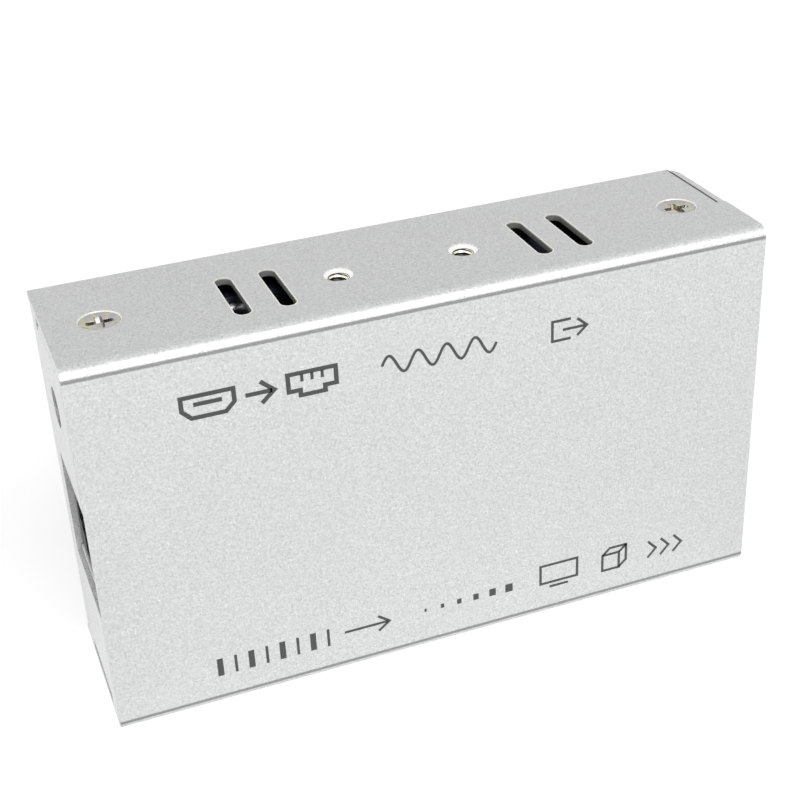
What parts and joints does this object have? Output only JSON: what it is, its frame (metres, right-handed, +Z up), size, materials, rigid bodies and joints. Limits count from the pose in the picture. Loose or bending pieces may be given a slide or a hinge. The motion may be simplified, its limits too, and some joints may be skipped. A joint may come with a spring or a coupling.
{
  "type": "hdmi extender",
  "caption": "Sender unit that carries a video signal over a network cable: a flat two-piece folded metal case round one circuit board with power, network and video sockets.",
  "frame": {"origin": "middle of the bottom narrow side, on the surface that the unit stands on", "axes": "X along the case, +X from the end with the power and network sockets to the end with the video socket; -Y out of the front panel, +Y out of the back panel; +Z up from the long narrow side that it stands on"},
  "size_m": [0.1, 0.026, 0.0575],
  "materials": {
    "case_metal": "silver, fine sand texture",
    "screw_nickel": "nickel plated",
    "zinc": "zinc plated",
    "board": "green solder mask",
    "tin_plate": "bright tin plate",
    "black_moulding": "fine matte",
    "gold_plate": "gold plated",
    "green_lens": "clear lens",
    "amber_lens": "clear lens",
    "red_lens": "clear lens",
    "chip_black": "moulded resin",
    "ferrite": "fired ceramic",
    "copper": "enamelled wire",
    "can_aluminium": "drawn can",
    "ceramic": "fired ceramic"
  },
  "bodies": {
    "extender": {"cover": "case_metal", "base": "case_metal", "cover_screws": "screw_nickel", "standoffs": "zinc", "circuit_board": "board", "board_screws": "zinc", "network_shield": "tin_plate", "network_housing": "black_moulding", "network_contact_legs": "gold_plate", "network_link_light": "green_lens", "network_data_light": "amber_lens", "power_socket_body": "black_moulding", "power_centre_pin": "tin_plate", "power_pin_terminal": "tin_plate", "power_leaf_terminal": "tin_plate", "power_switch_contact": "tin_plate", "video_socket_shell": "tin_plate", "video_socket_insulator": "black_moulding", "video_socket_contacts": "gold_plate", "power_light": "red_lens", "power_light_leads": "tin_plate", "video_chip": "chip_black", "line_driver_chip": "chip_black", "line_transformer": "chip_black", "memory_chip": "chip_black", "clock_crystal": "tin_plate", "surge_arrays": "chip_black", "voltage_regulators": "chip_black", "power_diode": "chip_black", "inductor_core": "ferrite", "inductor_winding": "copper", "capacitor_cans": "can_aluminium", "capacitor_bases": "black_moulding", "chip_capacitors": "ceramic", "chip_resistors": "chip_black"},
    "network_contacts": {"network_contact_arms": "gold_plate"},
    "power_leaf": {"power_leaf_spring": "gold_plate"}
  },
  "joints": [
    {"name": "network_contacts_flex", "type": "hinge", "parent": "extender", "child": "network_contacts", "pos_m": [-0.0471, -0.00635, 0.02748], "axis": [0, 0, -1], "range_deg": [0, 7], "stiffness_Nm_per_rad": 0.5},
    {"name": "power_leaf_flex", "type": "hinge", "parent": "extender", "child": "power_leaf", "pos_m": [-0.0433, 0.00445, 0.04646], "axis": [0, 0, 1], "range_deg": [0, 8.5], "stiffness_Nm_per_rad": 0.3}
  ]
}
